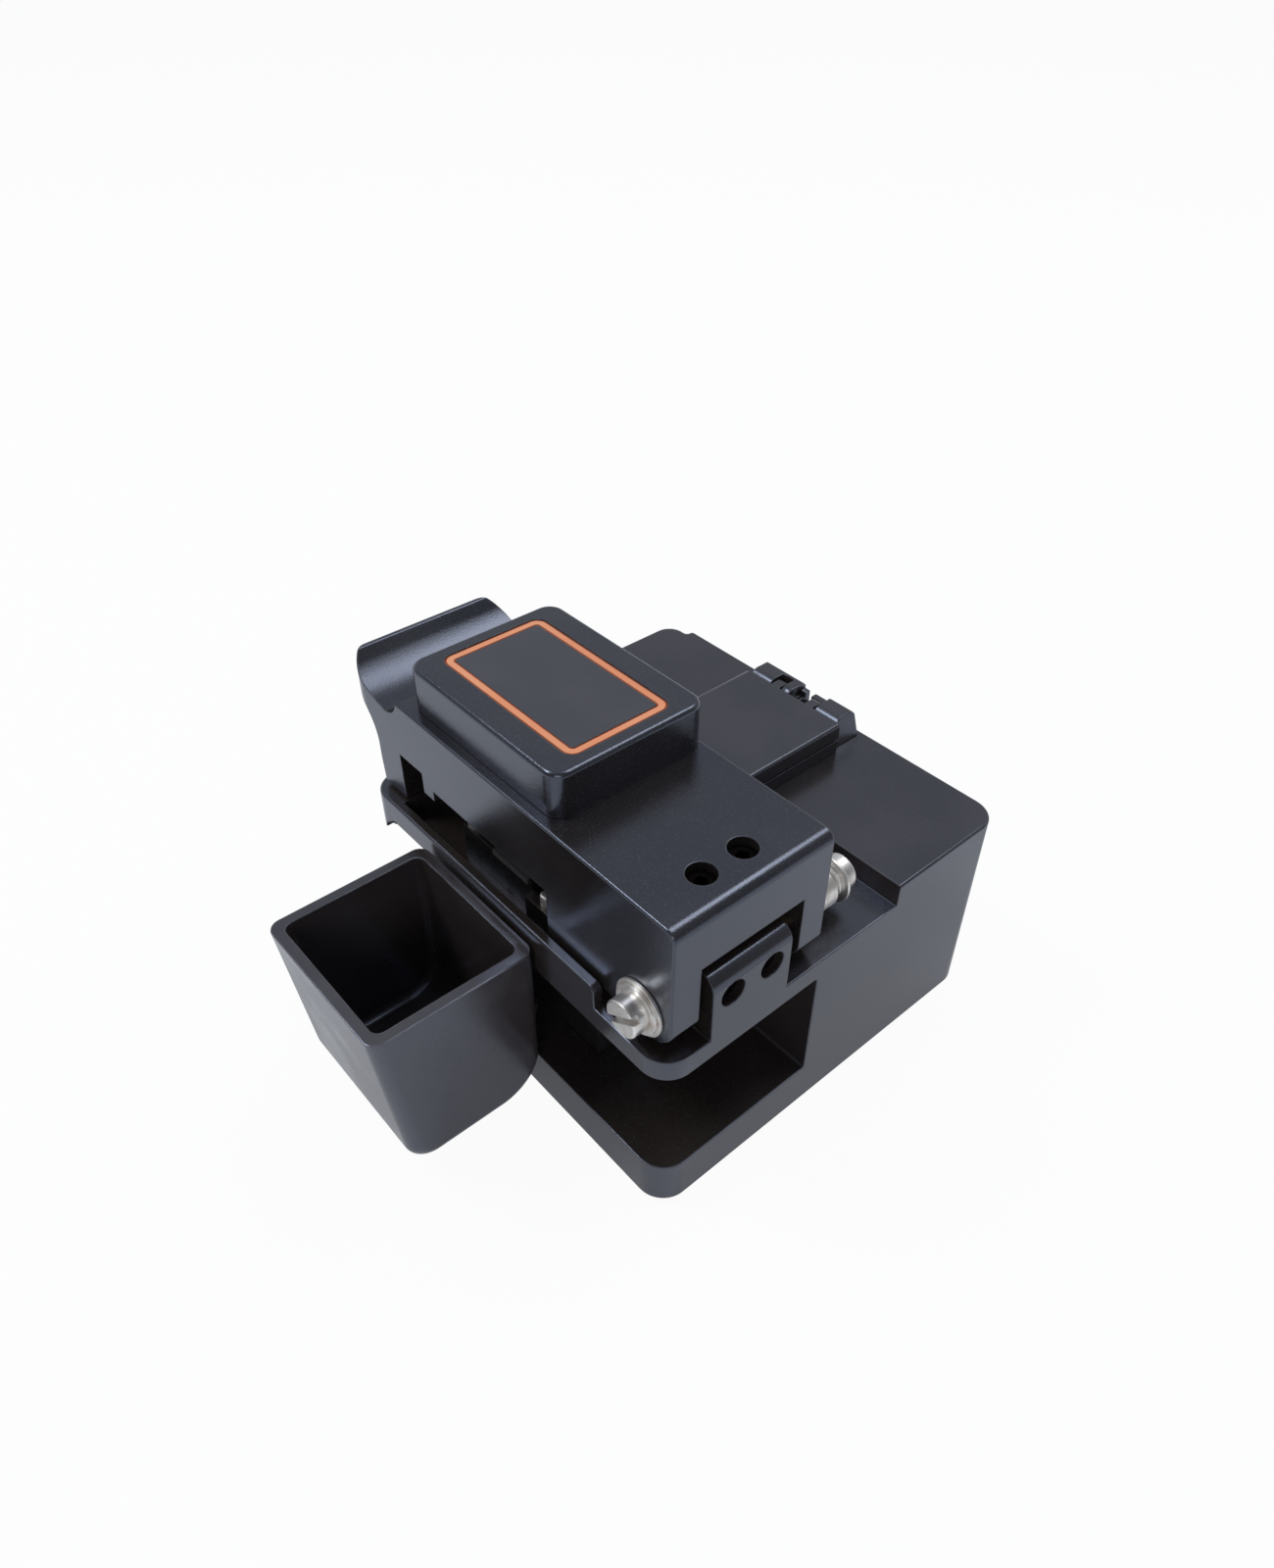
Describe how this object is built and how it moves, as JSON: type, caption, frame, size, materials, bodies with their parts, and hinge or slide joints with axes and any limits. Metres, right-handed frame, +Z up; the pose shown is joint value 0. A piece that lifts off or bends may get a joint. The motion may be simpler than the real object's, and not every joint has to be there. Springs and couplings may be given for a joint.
{
  "type": "fibre cleaver",
  "caption": "Black bench fibre cleaver: C-shaped body, hinged channel lid with thumb lip, sliding blade wheel under the deck, clamping fixture with hinged cover and lift-off scrap bin.",
  "frame": {"origin": "centre of the underside of the rubber mat, on the bench", "axes": "+Z up, +X towards the scrap bin, +Y towards the lid hinge, -Y towards the user and the thumb lip"},
  "size_m": [0.0855, 0.0676, 0.0559],
  "materials": {
    "body_black": "satin black anodised",
    "lid_black": "fine-grained black anodised",
    "housing_black": "fine-grained black anodised",
    "clamp_black": "black anodised",
    "carriage_black": "black anodised",
    "fixture_black": "satin black anodised",
    "label_orange": "satin orange enamel",
    "label_dark": "smooth dark grey",
    "nickel": "bright nickel plate",
    "steel": "ground steel",
    "anvil_steel": "ground steel",
    "blackened_steel": "blackened",
    "brass": "turned",
    "carbide": "ground carbide",
    "magnet": "nickel-plated magnet",
    "rubber_mat": "matt black rubber",
    "pad_rubber": "dark rubber",
    "push_plastic": "ribbed black",
    "bin_plastic": "satin black"
  },
  "bodies": {
    "base": {"body": "body_black", "base_mat": "rubber_mat", "hinge_screws": "nickel", "hinge_washers_inner": "nickel", "hinge_washers_outer": "nickel", "hinge_disc_springs": "blackened_steel", "hinge_spacers": "brass", "post_set_screws": "blackened_steel", "keeper": "steel", "anvil_fixture_side": "anvil_steel", "anvil_bin_side": "anvil_steel", "lower_pads": "pad_rubber", "anvil_screws": "nickel", "stop_pins": "nickel", "rail": "steel", "rail_screws": "blackened_steel", "base_magnet": "magnet", "fixture_base": "fixture_black", "fixture_screws": "blackened_steel", "fixture_pins": "steel"},
    "lid": {"lid": "lid_black", "lid_magnet": "magnet", "lid_set_screws": "blackened_steel", "housing": "housing_black", "housing_screws": "blackened_steel", "label_frame": "label_orange", "label_plate": "label_dark", "guide_pins": "steel", "hinge_bushes": "brass", "clamp_springs": "steel", "break_spring": "steel"},
    "clamp": {"clamp_beam": "clamp_black", "upper_pads": "pad_rubber"},
    "break_anvil": {"break_anvil": "steel", "break_clip": "steel"},
    "carriage": {"carriage": "carriage_black", "push_pad": "push_plastic", "blade_bracket": "steel", "bracket_screws": "blackened_steel", "blade_axle": "nickel"},
    "blade": {"blade": "carbide"},
    "fixture_cover": {"fixture_cover": "fixture_black"},
    "scrap_bin": {"scrap_bin": "bin_plastic", "tongue_magnet": "magnet"}
  },
  "joints": [
    {"name": "lid_hinge", "type": "hinge", "parent": "base", "child": "lid", "pos_m": [0.01683, 0.0269, 0.0341], "axis": [-1, 0, 0], "range_deg": [0, 55]},
    {"name": "clamp_slide", "type": "slide", "parent": "lid", "child": "clamp", "axis": [0, 0, 1], "range_m": [0, 0.0008], "stiffness_N_per_m": 600, "springref_m": -0.002, "deforming": ["clamp_springs"]},
    {"name": "break_anvil_slide", "type": "slide", "parent": "lid", "child": "break_anvil", "axis": [0, 0, 1], "range_m": [0, 0.0008], "stiffness_N_per_m": 400, "springref_m": -0.002, "deforming": ["break_spring"]},
    {"name": "carriage_slide", "type": "slide", "parent": "base", "child": "carriage", "axis": [0, -1, 0], "range_m": [0, 0.024]},
    {"name": "blade_index", "type": "hinge", "parent": "carriage", "child": "blade", "pos_m": [0.01683, 0.011, 0.02665], "axis": [1, 0, 0], "continuous": true},
    {"name": "fixture_cover_hinge", "type": "hinge", "parent": "base", "child": "fixture_cover", "pos_m": [-0.02717, -0.0007, 0.0349], "axis": [0, -1, 0], "range_deg": [0, 95]},
    {"name": "bin_lift_off", "type": "slide", "parent": "base", "child": "scrap_bin", "axis": [1, 0, 0], "range_m": [0, 0.025]}
  ]
}
